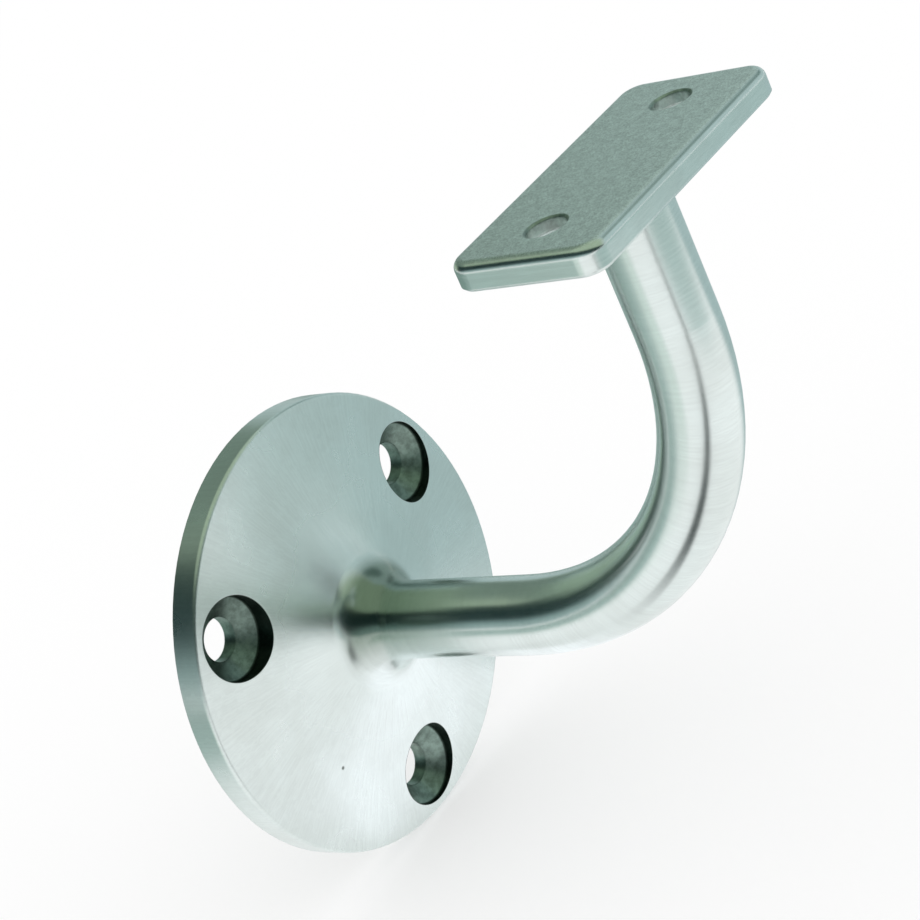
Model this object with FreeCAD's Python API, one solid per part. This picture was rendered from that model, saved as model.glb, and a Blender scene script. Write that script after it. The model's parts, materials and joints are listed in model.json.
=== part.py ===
import FreeCAD, Part
import math
import os

# Handrail bracket, one stainless casting: a round rose that screws to the wall, an arm that runs
# straight out and turns up through a quarter bend, and a flat saddle that the rail is screwed to.
# Frame: origin at the centre of the rose's back face. The wall is the plane Y = 0, the bracket
# projects towards -Y, +Z is up and +X runs along the rail. Sizes are in millimetres.

# Rose. Its face is a shallow hollow that climbs from the rim to the hub and flares into the arm.
rose_radius = 31.75
rose_rim_height = 4.3  # face above the wall at the rim
rose_hub_radius = 10.0
rose_hub_height = 8.6  # face above the wall at the hub radius
rose_face_hollow_radius = 120.0
rose_flare_radius = 6.0
rose_rim_round = 0.5
rose_back_chamfer = 0.4

# Wall screws, each in a drilled pocket with a cone at the bottom
wall_screw_count = 3
wall_screw_first_angle = 30.0  # degrees from +X towards +Z
wall_screw_circle_radius = 24.7
wall_screw_hole_radius = 3.0
wall_screw_pocket_radius = 5.75
wall_screw_land = 2.0  # plain hole left between the wall and the cone
wall_screw_cone_height = 1.75

# Arm
arm_radius = 5.35
arm_reach = 76.0  # wall to the middle of the upright
arm_bend_radius = 41.0  # on the centre line

# Saddle
saddle_height = 62.3  # middle of the rose to the top face
saddle_length = 45.0  # along the rail
saddle_width = 20.8
saddle_thickness = 3.6
saddle_corner_radius = 3.0
saddle_top_round = 1.2
saddle_bottom_chamfer = 0.4
saddle_neck_chamfer = 0.8

# Rail screws, which go up through the saddle and are countersunk from below
rail_screw_spacing = 30.5
rail_screw_hole_radius = 2.5
rail_screw_head_radius = 4.6
rail_screw_cone_height = 2.1
rail_screw_edge_chamfer = 0.25

out_of_wall = FreeCAD.Vector(0, -1, 0)
up = FreeCAD.Vector(0, 0, 1)


def at(x, out, z):
    """A point, given by how far it stands out of the wall."""
    return FreeCAD.Vector(x, -out, z)


def near(a, b):
    return abs(a - b) < 1e-4


def arc_about(centre, start, end):
    """The shorter arc from start to end about this centre."""
    radius = centre.distanceToPoint(start)
    middle = centre + ((start + end) / 2 - centre).normalize() * radius
    return Part.Arc(start, middle, end).toShape()


def round_edges(shape, radius, wanted):
    """Round the edges of the shape that the test picks out."""
    return shape.makeFillet(radius, [edge for edge in shape.Edges if wanted(edge)])


def chamfer_edges(shape, width, wanted):
    return shape.makeChamfer(width, [edge for edge in shape.Edges if wanted(edge)])


def is_circle(edge, radius):
    if edge.Degenerated or not isinstance(edge.Curve, Part.Circle):
        return False
    return near(edge.Curve.Radius, radius)


def face_centre():
    """Centre of the hollow arc that the rose's face follows, in the plane Z = 0."""
    run = rose_radius - rose_hub_radius
    rise = rose_hub_height - rose_rim_height
    chord = math.hypot(run, rise)
    offset = math.sqrt(rose_face_hollow_radius**2 - chord**2 / 4)
    return at(
        (rose_radius + rose_hub_radius) / 2 + offset * rise / chord,
        (rose_rim_height + rose_hub_height) / 2 + offset * run / chord,
        0,
    )


def flare_centre():
    """Centre of the flare's arc, which touches both the hollow face and the side of the arm."""
    hollow = face_centre()
    x = arm_radius + rose_flare_radius
    reach = math.sqrt((rose_face_hollow_radius - rose_flare_radius) ** 2 - (hollow.x - x) ** 2)
    return at(x, -hollow.y - reach, 0)


def rim_centre():
    """Centre of the rim's arc, which touches both the rim wall and the hollow face."""
    hollow = face_centre()
    x = rose_radius - rose_rim_round
    reach = math.sqrt((rose_face_hollow_radius + rose_rim_round) ** 2 - (hollow.x - x) ** 2)
    return at(x, -hollow.y - reach, 0)


def rose_body():
    """The rose turned in one piece with the root of the arm."""
    hollow = face_centre()
    rim = rim_centre()
    flare = flare_centre()
    back = at(rose_radius - rose_back_chamfer, 0, 0)
    wall_foot = at(rose_radius, rose_back_chamfer, 0)
    wall_top = at(rose_radius, -rim.y, 0)
    face_edge = hollow + (rim - hollow).normalize() * rose_face_hollow_radius
    flare_foot = hollow + (flare - hollow).normalize() * rose_face_hollow_radius
    flare_top = at(arm_radius, -flare.y, 0)
    outline = Part.Wire(
        [
            Part.makeLine(at(0, 0, 0), back),
            Part.makeLine(back, wall_foot),
            Part.makeLine(wall_foot, wall_top),
            arc_about(rim, wall_top, face_edge),
            arc_about(hollow, face_edge, flare_foot),
            arc_about(flare, flare_foot, flare_top),
            Part.makeLine(flare_top, at(0, -flare.y, 0)),
            Part.makeLine(at(0, -flare.y, 0), at(0, 0, 0)),
        ]
    )
    return Part.Face(outline).revolve(at(0, 0, 0), out_of_wall, 360)


def arm_body():
    """A round bar: straight out of the wall, a quarter bend, then up into the saddle."""
    bend_start = at(0, arm_reach - arm_bend_radius, 0)
    bend_centre = at(0, arm_reach - arm_bend_radius, arm_bend_radius)
    bend_end = at(0, arm_reach, arm_bend_radius)
    top = at(0, arm_reach, saddle_height - saddle_thickness / 2)
    path = Part.Wire(
        [
            Part.makeLine(at(0, 0, 0), bend_start),
            arc_about(bend_centre, bend_start, bend_end),
            Part.makeLine(bend_end, top),
        ]
    )
    section = Part.Wire([Part.makeCircle(arm_radius, at(0, 0, 0), out_of_wall)])
    return path.makePipeShell([section], True, True)


def saddle_body():
    underside = saddle_height - saddle_thickness
    corner = at(-saddle_length / 2, arm_reach + saddle_width / 2, underside)
    plate = Part.makeBox(saddle_length, saddle_width, saddle_thickness, corner)
    plate = round_edges(plate, saddle_corner_radius, lambda e: near(e.BoundBox.ZLength, saddle_thickness))
    plate = round_edges(plate, saddle_top_round, lambda e: near(e.BoundBox.ZMin, saddle_height))
    plate = chamfer_edges(plate, saddle_bottom_chamfer, lambda e: near(e.BoundBox.ZMax, underside))
    for side in (-1, 1):
        plate = plate.cut(rail_screw_hole(side * rail_screw_spacing / 2))
    return chamfer_edges(plate, rail_screw_edge_chamfer, is_rail_hole_mouth)


def rail_screw_hole(x):
    """A plain hole with a countersink for a screw head that sits flush with the underside."""
    foot = at(x, arm_reach, saddle_height - saddle_thickness)
    hole = Part.makeCylinder(rail_screw_hole_radius, saddle_thickness, foot, up)
    sink = Part.makeCone(rail_screw_head_radius, rail_screw_hole_radius, rail_screw_cone_height, foot, up)
    return hole.fuse(sink)


def is_rail_hole_mouth(edge):
    return is_circle(edge, rail_screw_hole_radius) and near(edge.Curve.Center.z, saddle_height)


def is_neck_ring(edge):
    """True for the circle where the upright meets the saddle's underside."""
    return is_circle(edge, arm_radius) and near(edge.Curve.Center.z, saddle_height - saddle_thickness)


def wall_screw_places():
    """X and Z of each wall screw."""
    step = 360 / wall_screw_count
    angles = [math.radians(wall_screw_first_angle + step * screw) for screw in range(wall_screw_count)]
    return [(wall_screw_circle_radius * math.cos(a), wall_screw_circle_radius * math.sin(a)) for a in angles]


def wall_screw_pocket(x, z):
    """A plain hole, a cone for the screw's head, and a straight-sided pocket up through the face."""
    cone_foot = at(x, wall_screw_land, z)
    cone_top = at(x, wall_screw_land + wall_screw_cone_height, z)
    hole = Part.makeCylinder(wall_screw_hole_radius, wall_screw_land, at(x, 0, z), out_of_wall)
    cone = Part.makeCone(
        wall_screw_hole_radius, wall_screw_pocket_radius, wall_screw_cone_height, cone_foot, out_of_wall
    )
    pocket = Part.makeCylinder(wall_screw_pocket_radius, rose_hub_height, cone_top, out_of_wall)
    return hole.fuse([cone, pocket])


def bracket():
    body = rose_body().fuse([arm_body(), saddle_body()]).removeSplitter()
    body = chamfer_edges(body, saddle_neck_chamfer, is_neck_ring)
    for x, z in wall_screw_places():
        body = body.cut(wall_screw_pocket(x, z))
    return body


os.makedirs("parts", exist_ok=True)
casting = bracket().Solids[0]
casting.exportStep("parts/bracket_casting.step")
print("bracket_casting", "valid" if casting.isValid() else "NOT VALID", round(casting.Volume), "mm3")
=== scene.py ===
import json
import math
import bpy
import bmesh
from functools import reduce
from types import SimpleNamespace
from mathutils import Euler, Matrix, Vector


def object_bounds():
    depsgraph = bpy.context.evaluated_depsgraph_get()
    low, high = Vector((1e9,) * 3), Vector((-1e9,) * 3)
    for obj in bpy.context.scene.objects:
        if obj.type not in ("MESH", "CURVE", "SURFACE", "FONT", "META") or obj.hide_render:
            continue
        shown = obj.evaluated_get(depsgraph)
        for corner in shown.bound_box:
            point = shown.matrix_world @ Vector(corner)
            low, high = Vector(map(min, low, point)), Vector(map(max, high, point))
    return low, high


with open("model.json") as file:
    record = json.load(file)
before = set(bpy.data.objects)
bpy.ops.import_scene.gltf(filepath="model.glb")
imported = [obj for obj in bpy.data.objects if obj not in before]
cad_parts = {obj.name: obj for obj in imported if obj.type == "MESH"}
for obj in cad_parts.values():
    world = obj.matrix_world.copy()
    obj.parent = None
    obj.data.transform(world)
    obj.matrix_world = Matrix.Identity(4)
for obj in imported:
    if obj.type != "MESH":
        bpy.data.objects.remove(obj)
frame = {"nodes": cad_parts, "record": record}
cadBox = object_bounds()
mounts = {mount["name"]: mount for mount in frame["record"]["mounts"]}
metre = 1000.0  # in mm
usualNoise = (0.3, 0.7)  # most of a noise lies between these
print("frame loaded")


class Wires:
    # makes nodes and links them; an input is a number, a tuple or another node's output
    def __init__(self, tree):
        self.tree = tree

    def node(self, kind, inputs=(), output=0, **settings):
        made = self.tree.nodes.new(kind)
        for key, value in settings.items():
            setattr(made, key, value)
        for key, value in dict(inputs).items():
            if isinstance(value, bpy.types.NodeSocket):
                self.tree.links.new(value, made.inputs[key])
            else:
                made.inputs[key].default_value = value
        return made.outputs[output]

    def math(self, operation, a, b=0.0):
        return self.node("ShaderNodeMath", {0: a, 1: b}, operation=operation)

    def plus(self, a, b):
        return self.math("ADD", a, b)

    def minus(self, a, b):
        return self.math("SUBTRACT", a, b)

    def times(self, a, *others):
        for other in others:
            a = self.math("MULTIPLY", a, other)
        return a

    def larger(self, a, b):
        return self.math("MAXIMUM", a, b)

    def smaller(self, a, b):
        return self.math("MINIMUM", a, b)

    def step(self, value, start, end, low=0.0, high=1.0):
        # low up to start, high from end, smooth between
        ends = {"Value": value, "From Min": start, "From Max": end, "To Min": low, "To Max": high}
        return self.node("ShaderNodeMapRange", ends, interpolation_type="SMOOTHSTEP")

    def vector(self, x, y, z):
        return self.node("ShaderNodeCombineXYZ", {0: x, 1: y, 2: z})

    def split(self, vector):
        return self.node("ShaderNodeSeparateXYZ", {0: vector}).node.outputs

    def scaled(self, vector, size):
        return self.node("ShaderNodeVectorMath", {0: vector, "Scale": size}, operation="SCALE")

    def unit(self, vector):
        return self.node("ShaderNodeVectorMath", {0: vector}, operation="NORMALIZE")

    def distance(self, a, b):
        return self.node("ShaderNodeVectorMath", {0: a, 1: b}, output=1, operation="DISTANCE")

    def noise(self, vector, scale, detail, roughness=0.5):
        values = {"Vector": vector, "Scale": scale, "Detail": detail, "Roughness": roughness}
        return self.node("ShaderNodeTexNoise", values)

    def spread(self, noise, low, high):
        return self.step(noise, *usualNoise, low, high)

    def mix(self, share, a, b):
        return self.node("ShaderNodeMix", {0: share, 2: a, 3: b}, data_type="FLOAT")

    def mixVector(self, share, a, b):
        return self.node("ShaderNodeMix", {0: share, 4: a, 5: b}, output=1, data_type="VECTOR")

    def mixColour(self, share, a, b, blend="MIX"):
        a, b = (c if isinstance(c, bpy.types.NodeSocket) else (*c, 1) for c in (a, b))
        inputs = {0: share, 6: a, 7: b}
        return self.node("ShaderNodeMix", inputs, output=2, data_type="RGBA", blend_type=blend)

    def shaded(self, colour, shade):
        grey = self.node("ShaderNodeCombineColor", {0: shade, 1: shade, 2: shade})
        return self.mixColour(1.0, colour, grey, "MULTIPLY")


cameraSet = {
    "place": (-0.25521, -0.27350, 0.17242),  # metres
    "turn": (65.000, 22.547, -57.080),  # degrees
    "lens": 115.61,
    "sensor": 36.0,
    "nearest": 0.01,  # metres; nothing closer than this shows
}


def makeCamera():
    data = bpy.data.cameras.new("camera")
    data.lens = cameraSet["lens"]
    data.sensor_width = cameraSet["sensor"]
    data.clip_start = cameraSet["nearest"]
    camera = bpy.data.objects.new("camera", data)
    bpy.context.scene.collection.objects.link(camera)
    camera.location = cameraSet["place"]
    camera.rotation_euler = Euler([math.radians(a) for a in cameraSet["turn"]], "XYZ")
    bpy.context.scene.camera = camera
    bpy.context.view_layer.update()
    return camera


camera = makeCamera()
print("camera placed")


# a white table and surround, and cards that only the steel reflects; distances in metres
studioSet = {
    "tableSize": 8.0,
    "tableGap": 0.0005,  # between the casting's lowest point and the table
    "tableColour": (0.52, 0.52, 0.52),
    "tableGlow": 0.48,
    "surroundLight": 1.0,
    "standDistance": 1.6,
    "standStep": 0.05,  # each stand card is this much nearer than the one before
    "standGrid": (40, 20),  # faces across and up, for the curve round the bracket
    "tableCardDrop": 0.0004,  # first table card, below the casting's lowest point
    "tableCardStep": 0.0001,  # each table card lies this much over the one before
    "tableCardEndFade": 0.1,  # share of its length
}

# span and rise are degrees right of and above the camera, seen from the bracket;
# fade is how many degrees each edge takes: left, right, bottom, top
standSet = {
    "ceilingCard": dict(span=(-175, 85), rise=(-10, 90), fade=(15, 25, 8, 1), colour=(0.38, 0.47, 0.35)),
    "coolCard": dict(span=(62, 215), rise=(-14, 90), fade=(20, 20, 14, 1), colour=(0.46, 0.57, 0.57)),
    "leftCeilingCard": dict(span=(-162, -80), rise=(12, 72), fade=(10, 20, 8, 15), colour=(0.16, 0.22, 0.18)),
    "darkCeilingCard": dict(span=(70, 160), rise=(48, 74), fade=(20, 20, 10, 10), colour=(0.14, 0.21, 0.20)),
    "dimCard": dict(span=(-115, 62), rise=(-38, 8), fade=(20, 20, 16, 3), colour=(0.26, 0.37, 0.36)),
    "blackCard": dict(span=(-130, 85), rise=(-20, 23), fade=(25, 12, 14, 4), colour=(0.012, 0.03, 0.03)),
}

# flat cards on the table in mm: middle, length, width, fade of the long edges; turn is from +X towards +Y
tableCardSet = {
    "greyCard": dict(middle=(384, 35), length=1400, width=700, turn=-60, fade=60, colour=(0.42, 0.53, 0.53)),
    "frontCard": dict(middle=(160, -570), length=680, width=720, turn=0, fade=60, colour=(0.42, 0.54, 0.52)),
    "leftCard": dict(middle=(-365, 140), length=600, width=400, turn=0, fade=40, colour=(0.70, 0.79, 0.74)),
    "backCard": dict(middle=(150, 360), length=1000, width=700, turn=0, fade=60, colour=(0.35, 0.46, 0.43)),
    "deepCard": dict(middle=(150, 460), length=1000, width=700, turn=0, fade=60, colour=(0.20, 0.29, 0.26)),
    "glowCard": dict(middle=(11, -20), length=48, width=36, turn=0, fade=14, colour=(1.10, 1.10, 1.13)),
    "lineCard": dict(middle=(-112, -206), length=390, width=21, turn=60, fade=4,
                     colour=(0.005, 0.015, 0.015)),
}


# a glowing card that clears towards its edges; the fades are shares of its size
def cardMaterial(name, colour, left, right, bottom, top):
    material = bpy.data.materials.new(name)
    material.use_nodes = True
    tree = material.node_tree
    tree.nodes.clear()
    w = Wires(tree)
    across, along = w.split(w.node("ShaderNodeUVMap"))[:2]
    cover = w.times(w.step(across, 0, left), w.step(across, 1, 1 - right))
    cover = w.times(cover, w.step(along, 0, bottom), w.step(along, 1, 1 - top))
    clear = w.node("ShaderNodeBsdfTransparent")
    glow = w.node("ShaderNodeEmission", {"Color": (*colour, 1)})
    surface = w.node("ShaderNodeMixShader", {0: cover, 1: clear, 2: glow})
    out = tree.nodes.new("ShaderNodeOutputMaterial")
    tree.links.new(surface, out.inputs["Surface"])
    return material


# a card whose points are placed from their (across, along) on it, each 0 to 1
def makeCard(name, place, material, columns, rows):
    bm = bmesh.new()
    bmesh.ops.create_grid(bm, x_segments=columns, y_segments=rows, size=0.5)
    uv = bm.loops.layers.uv.new("UVMap")
    for face in bm.faces:
        for loop in face.loops:
            loop[uv].uv = (loop.vert.co.x + 0.5, loop.vert.co.y + 0.5)
    for v in bm.verts:
        v.co = place(v.co.x + 0.5, v.co.y + 0.5)
    mesh = bpy.data.meshes.new(name)
    bm.to_mesh(mesh)
    bm.free()
    mesh.materials.append(material)
    card = bpy.data.objects.new(name, mesh)
    bpy.context.scene.collection.objects.link(card)
    card.visible_camera = False
    card.visible_diffuse = False
    card.visible_shadow = False


def makeStandCard(name, distance, span, rise, fade, colour):
    middle = (cadBox[0] + cadBox[1]) / 2
    cameraAxes = camera.matrix_world.to_3x3()
    width = span[1] - span[0]
    height = rise[1] - rise[0]

    def place(across, along):
        a = math.radians(span[0] + width * across)
        e = math.radians(rise[0] + height * along)
        seen = Vector((math.sin(a) * math.cos(e), math.sin(e), math.cos(a) * math.cos(e)))
        return middle + cameraAxes @ seen * distance

    shares = (fade[0] / width, fade[1] / width, fade[2] / height, fade[3] / height)
    makeCard(name, place, cardMaterial(name, colour, *shares), *studioSet["standGrid"])


def makeTableCard(name, lift, middle, length, width, turn, fade, colour):
    turned = Matrix.Rotation(math.radians(turn), 3, "Z")
    foot = Vector((middle[0] / metre, middle[1] / metre, cadBox[0].z + lift))

    def place(across, along):
        return foot + turned @ Vector(((across - 0.5) * length, (along - 0.5) * width, 0)) / metre

    end = studioSet["tableCardEndFade"]
    makeCard(name, place, cardMaterial(name, colour, end, end, fade / width, fade / width), 1, 1)


# white to the eye and in the steel; the light that it throws on the casting comes from its colour alone
def tablePaper():
    material = bpy.data.materials.new("tablePaper")
    material.use_nodes = True
    shader = material.node_tree.nodes["Principled BSDF"]
    shader.inputs["Base Color"].default_value = (*studioSet["tableColour"], 1)
    shader.inputs["Roughness"].default_value = 1.0
    shader.inputs["Specular IOR Level"].default_value = 0.0
    shader.inputs["Emission Color"].default_value = (1, 1, 1, 1)
    w = Wires(material.node_tree)
    ray = w.node("ShaderNodeLightPath").node.outputs
    seen = w.plus(w.plus(ray["Is Camera Ray"], ray["Is Glossy Ray"]), ray["Is Transmission Ray"])
    glow = w.times(w.smaller(seen, 1.0), studioSet["tableGlow"])
    w.tree.links.new(glow, shader.inputs["Emission Strength"])
    return material


def makeTable():
    bm = bmesh.new()
    bmesh.ops.create_grid(bm, x_segments=1, y_segments=1, size=studioSet["tableSize"] / 2)
    bmesh.ops.translate(bm, verts=bm.verts, vec=(0, 0, cadBox[0].z - studioSet["tableGap"]))
    mesh = bpy.data.meshes.new("table")
    bm.to_mesh(mesh)
    bm.free()
    mesh.materials.append(tablePaper())
    table = bpy.data.objects.new("table", mesh)
    bpy.context.scene.collection.objects.link(table)


def makeWorld():
    world = bpy.data.worlds.new("studioWorld")
    world.use_nodes = True
    background = world.node_tree.nodes["Background"]
    background.inputs["Color"].default_value = (1, 1, 1, 1)
    background.inputs["Strength"].default_value = studioSet["surroundLight"]
    bpy.context.scene.world = world


makeTable()
makeWorld()
for step, (name, card) in enumerate(standSet.items()):
    makeStandCard(name, studioSet["standDistance"] - studioSet["standStep"] * step, **card)
for step, (name, card) in enumerate(tableCardSet.items()):
    makeTableCard(name, studioSet["tableCardStep"] * step - studioSet["tableCardDrop"], **card)
bpy.context.scene.view_settings.view_transform = "Standard"
print("studio set")


# one steel, finished differently from place to place; sizes and places in mm,
# and a pair is where something starts and where it is full
steelSet = {
    # what the record doesn't say of the casting
    "armBendRadius": 41.0,  # on the centre line
    "firstScrewAngle": 30.0,  # degrees from +X towards +Z
    # metal
    "colour": (0.81, 0.885, 0.87),
    "stain": (0.755, 0.82, 0.80),
    "stainPatch": (0.38, 0.64),  # of the patch pattern
    "stainShare": 0.8,
    # painted shade: a darker tint where the arm leaves the rose, standing in for shade and dark reflection in
    # that crease
    "rootPaintedShade": (0.38, 0.43, 0.38),
    "roughness": 0.23,
    "roughnessSpread": 0.1,  # between polished and dull patches
    "faceDulling": 0.05,  # more roughness on the rose's face
    "brushedAnisotropy": 0.25,
    "edgeRadius": 0.22,
    "edgeSamples": 4,
    # brush marks: how close together they are each way, and how deep
    "roseMark": dict(around=75.0, outward=0.25, jumble=4.0, depth=0.0014),  # around is per radian
    "armMark": dict(along=3.6, around=0.35, slant=0.3, depth=0.0007),
    "saddleMark": dict(level=0.3, upright=5.0, depth=0.001),
    "grainDepth": 0.0012,
    # as-cast top of the saddle
    "topColour": (0.74, 0.81, 0.79),
    "topRoughness": 0.4,
    "topDepth": 0.03,
    # pockets and rail holes: their colours are painted shade, near-black in the screw pockets and less dark
    # on the pocket seats and in the rail holes
    "pocketPaintedShade": (0.03, 0.045, 0.036),
    "seatPaintedShade": (0.20, 0.27, 0.235),
    "railHolePaintedShade": (0.36, 0.43, 0.40),
    "pocketRoughness": 0.38,
    "pocketDepth": 0.35,  # share of the top's
    # pits
    "pitCells": 0.13,  # per mm
    "pitRarity": 0.9,
    "pitEdge": (0.05, 0.02),  # in cells
    "pitDepth": 0.05,
    "pitColour": (0.05, 0.06, 0.05),
    "pitShare": 0.85,
    # darkest and lightest that each pattern makes the metal
    "streakShade": (0.95, 1.02),
    "castShade": (0.88, 1.08),
    "speckleShade": (0.8, 1.15),
    "mottleShade": (0.75, 1.35),
    # patterns
    "strokes": dict(scale=1.0, detail=4.0, roughness=0.62),
    "saddleStrokes": dict(scale=1.0, detail=4.0, roughness=0.6),
    "jumble": dict(scale=0.6, detail=1.0),
    "grain": dict(scale=3.0, detail=3.0, roughness=0.6),
    "speckle": dict(scale=4.5, detail=2.0, roughness=0.6),
    "cast": dict(scale=0.9, detail=6.0, roughness=0.62),
    "patch": dict(scale=0.09, detail=3.0, roughness=0.55),
    # zones: height is up from the middle of the rose, out is out of the wall,
    # and radius is from the rose's centre line
    "saddleHeight": (58.55, 58.6),
    "topHeight": (62.0, 62.25),
    "roseOut": (13.0, 8.0),
    "roseRadius": (7.0, 12.0),
    "faceRadius": (12.0, 18.0),
    "markRadius": (31.6, 31.2),  # no brush marks on the rim, nor so high up the arm
    # root: the zone where the arm leaves the rose, which gets the painted shade
    "rootRadius": (9.6, 7.0),
    "rootOut": (34.0, 12.0),
    "rootWall": (4.0, 8.0),
    "rootHeight": (-4.0, 2.0),
    # zones round a screw: radius is from its own centre line
    "pocketRadius": (5.85, 5.76),
    "pocketOut": (0.03, 0.12),
    "seatRadius": (5.66, 5.45),
    "railHoleRadius": (2.9, 2.7),
}


def wallScrewPlaces():
    screws = mounts["wall_screws"]["dims"]
    radius = screws["pcd_mm"] / 2
    turn = 360 / screws["count"]
    angles = [math.radians(steelSet["firstScrewAngle"] + turn * i) for i in range(screws["count"])]
    return [(radius * math.cos(a), 0, radius * math.sin(a)) for a in angles]


def railHolePlaces():
    half = mounts["rail_screws"]["dims"]["spacing_x_mm"] / 2
    y = mounts["rail_screws"]["pos_m"][1] * metre
    return [(side * half, y, 0) for side in (-1, 1)]


# where a point of the casting is, in mm
def castingPlace(w):
    at = SimpleNamespace()
    at.mm = w.scaled(w.node("ShaderNodeTexCoord", output="Object"), metre)
    at.x, at.y, at.z = w.split(at.mm)
    at.out = w.times(at.y, -1.0)
    at.radius = w.math("SQRT", w.plus(w.times(at.x, at.x), w.times(at.z, at.z)))

    # how far round the arm's bend, in radians, and how far along its centre line
    bendRadius = steelSet["armBendRadius"]
    straight = -mounts["rail_screws"]["pos_m"][1] * metre - bendRadius
    past = w.larger(w.minus(at.out, straight), 0.0)
    below = w.larger(w.minus(bendRadius, at.z), 0.0001)  # never 0, which has no angle
    at.bend = w.math("ARCTAN2", past, below)
    at.run = w.plus(w.smaller(at.out, straight), w.times(at.bend, bendRadius))
    at.run = w.plus(at.run, w.larger(w.minus(at.z, bendRadius), 0.0))
    return at


# 0 to 1 for each place that is finished in its own way
def finishZones(w, at):
    on = SimpleNamespace()
    on.saddle = w.step(at.z, *steelSet["saddleHeight"])
    on.top = w.step(at.z, *steelSet["topHeight"])
    on.rose = w.times(w.step(at.out, *steelSet["roseOut"]), w.step(at.radius, *steelSet["roseRadius"]))
    on.face = w.times(on.rose, w.step(at.radius, *steelSet["faceRadius"]))
    # mask for the painted shade at the arm's root
    on.root = w.times(w.step(at.radius, *steelSet["rootRadius"]), w.step(at.out, *steelSet["rootOut"]),
                      w.step(at.z, *steelSet["rootHeight"]), w.step(at.out, *steelSet["rootWall"]))

    acrossRose = w.vector(at.x, 0.0, at.z)
    nearest = reduce(w.smaller, [w.distance(acrossRose, place) for place in wallScrewPlaces()])
    on.pocket = w.times(w.step(nearest, *steelSet["pocketRadius"]), w.step(at.out, *steelSet["pocketOut"]))
    on.seat = w.step(nearest, *steelSet["seatRadius"])
    acrossSaddle = w.vector(at.x, at.y, 0.0)
    nearest = reduce(w.smaller, [w.distance(acrossSaddle, place) for place in railHolePlaces()])
    on.railHole = w.times(w.step(nearest, *steelSet["railHoleRadius"]), on.saddle)
    on.hole = w.larger(on.pocket, on.railHole)
    return on


# round the arm, out from the hub over the rose, and level on the saddle's sides
def brushMarks(w, at):
    marks = SimpleNamespace()
    rose = steelSet["roseMark"]
    fan = w.scaled(w.unit(w.vector(at.x, 0.0, at.z)), rose["around"])
    jumble = w.times(w.noise(at.mm, **steelSet["jumble"]), rose["jumble"])
    outward = w.vector(0.0, w.plus(w.times(at.radius, rose["outward"]), jumble), 0.0)
    fan = w.node("ShaderNodeVectorMath", {0: fan, 1: outward}, operation="ADD")
    marks.rose = w.noise(fan, **steelSet["strokes"])

    arm = steelSet["armMark"]
    slant = w.times(w.plus(at.z, at.out), arm["around"] * arm["slant"])
    band = w.vector(w.times(at.run, arm["along"]), w.times(at.x, arm["around"]), slant)
    marks.arm = w.noise(band, **steelSet["strokes"])

    side = steelSet["saddleMark"]
    level = (w.times(at.x, side["level"]), w.times(at.y, side["level"]))
    marks.saddle = w.noise(w.vector(*level, w.times(at.z, side["upright"])), **steelSet["saddleStrokes"])
    return marks


def pitMask(w, at):
    cells = w.node("ShaderNodeTexVoronoi", {"Vector": at.mm, "Scale": steelSet["pitCells"]}).node.outputs
    chance = w.node("ShaderNodeSeparateColor", {0: cells["Color"]})
    chosen = w.math("GREATER_THAN", chance, steelSet["pitRarity"])
    return w.times(w.step(cells["Distance"], *steelSet["pitEdge"]), chosen)


def steelHeight(w, at, on, marks, cast):
    arm = w.times(marks.arm, steelSet["armMark"]["depth"])
    rose = w.times(marks.rose, steelSet["roseMark"]["depth"])
    brushed = w.times(w.mix(on.rose, arm, rose), w.step(at.radius, *steelSet["markRadius"]))
    brushed = w.mix(on.saddle, brushed, w.times(marks.saddle, steelSet["saddleMark"]["depth"]))
    grain = w.noise(at.mm, **steelSet["grain"])
    brushed = w.plus(brushed, w.times(grain, steelSet["grainDepth"]))
    rough = w.larger(w.times(on.hole, steelSet["pocketDepth"]), on.top)
    return w.mix(rough, brushed, w.times(cast, steelSet["topDepth"]))


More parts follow.
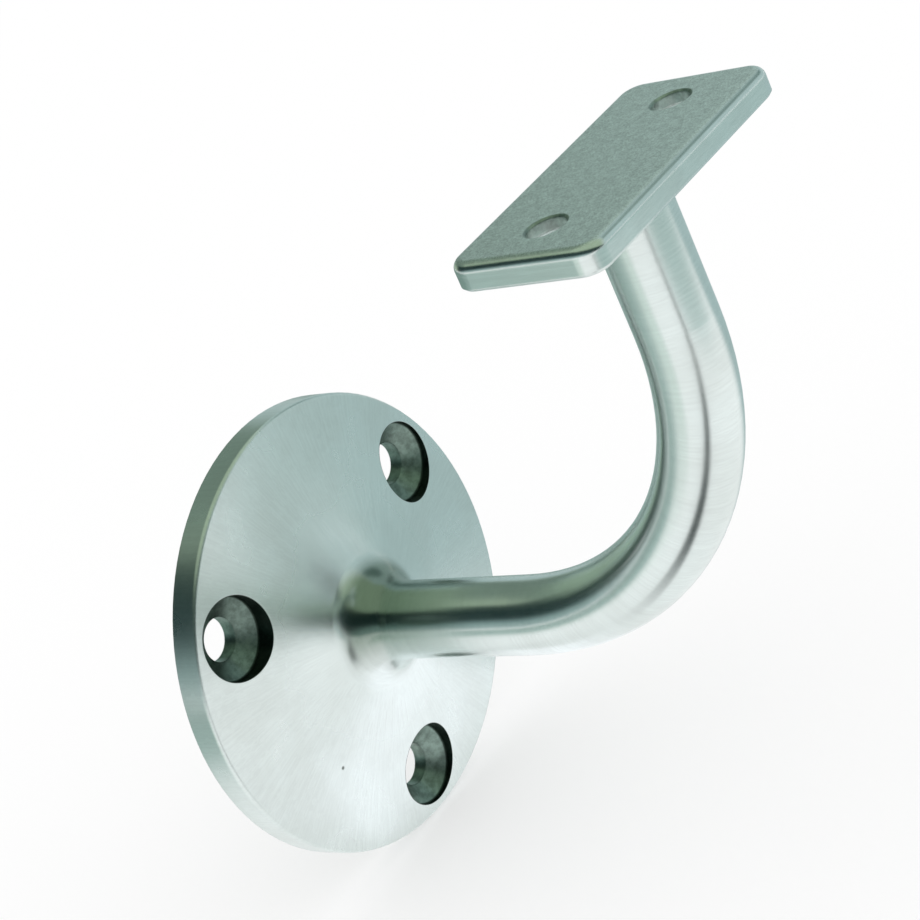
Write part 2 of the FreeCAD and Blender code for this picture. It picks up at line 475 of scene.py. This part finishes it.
def steelColour(w, at, on, marks, cast, patch, pit):
    stained = w.times(w.step(patch, *steelSet["stainPatch"]), steelSet["stainShare"])
    colour = w.mixColour(stained, steelSet["colour"], steelSet["stain"])
    streak = w.mix(on.rose, marks.arm, marks.rose)
    colour = w.shaded(colour, w.spread(streak, *steelSet["streakShade"]))
    # painted shade at the arm's root: the colour is darkened there in place of shade and dark reflection in
    # the crease
    root = w.mixColour(1.0, colour, steelSet["rootPaintedShade"], "MULTIPLY")
    colour = w.mixColour(on.root, colour, root)

    speckle = w.noise(at.mm, **steelSet["speckle"])
    topShade = w.times(w.spread(cast, *steelSet["castShade"]), w.spread(speckle, *steelSet["speckleShade"]))
    colour = w.mixColour(on.top, colour, w.shaded(steelSet["topColour"], topShade))

    # painted shade in the screw pockets and rail holes: dark colours stand in for the shade in these
    # recesses, under a mottled cast texture
    mottle = w.spread(cast, *steelSet["mottleShade"])
    pocket = w.mixColour(on.seat, steelSet["pocketPaintedShade"], steelSet["seatPaintedShade"])
    colour = w.mixColour(on.pocket, colour, w.shaded(pocket, mottle))
    colour = w.mixColour(on.railHole, colour, w.shaded(steelSet["railHolePaintedShade"], mottle))
    return w.mixColour(w.times(pit, steelSet["pitShare"]), colour, steelSet["pitColour"])


def steelRoughness(w, on, patch):
    spread = steelSet["roughnessSpread"]
    rough = w.plus(steelSet["roughness"] - spread / 2, w.times(patch, spread))
    rough = w.plus(rough, w.times(on.face, steelSet["faceDulling"]))
    rough = w.mix(on.top, rough, steelSet["topRoughness"])
    return w.mix(on.hole, rough, steelSet["pocketRoughness"])


# the way along the arm, round the rose and along the saddle, for the stretched highlights
def brushWay(w, at, on):
    alongArm = w.vector(0.0, w.times(w.math("COSINE", at.bend), -1.0), w.math("SINE", at.bend))
    roundRose = w.unit(w.vector(at.z, 0.0, w.times(at.x, -1.0)))
    return w.mixVector(on.saddle, w.mixVector(on.rose, alongArm, roundRose), (1, 0, 0))


def steelMaterial():
    material = bpy.data.materials.new("satinStainless")
    material.use_nodes = True
    tree = material.node_tree
    shader = tree.nodes["Principled BSDF"]
    w = Wires(tree)
    at = castingPlace(w)
    on = finishZones(w, at)
    marks = brushMarks(w, at)
    cast = w.noise(at.mm, **steelSet["cast"])
    patch = w.noise(at.mm, **steelSet["patch"])
    pit = pitMask(w, at)
    tree.links.new(steelColour(w, at, on, marks, cast, patch, pit), shader.inputs["Base Color"])
    tree.links.new(steelRoughness(w, on, patch), shader.inputs["Roughness"])
    tree.links.new(brushWay(w, at, on), shader.inputs["Tangent"])
    shader.inputs["Metallic"].default_value = 1.0
    shader.inputs["Anisotropic"].default_value = steelSet["brushedAnisotropy"]

    # relief over softened edges
    edge = {"Radius": steelSet["edgeRadius"] / metre}
    relief = w.node("ShaderNodeBevel", edge, samples=steelSet["edgeSamples"])
    for height in (steelHeight(w, at, on, marks, cast), w.times(pit, -steelSet["pitDepth"])):
        relief = w.node("ShaderNodeBump", {"Distance": 1 / metre, "Height": height, "Normal": relief})
    tree.links.new(relief, shader.inputs["Normal"])
    return material


casting = frame["nodes"]["bracket_casting"]
casting.material_slots[0].material = steelMaterial()
print("steel on the casting")
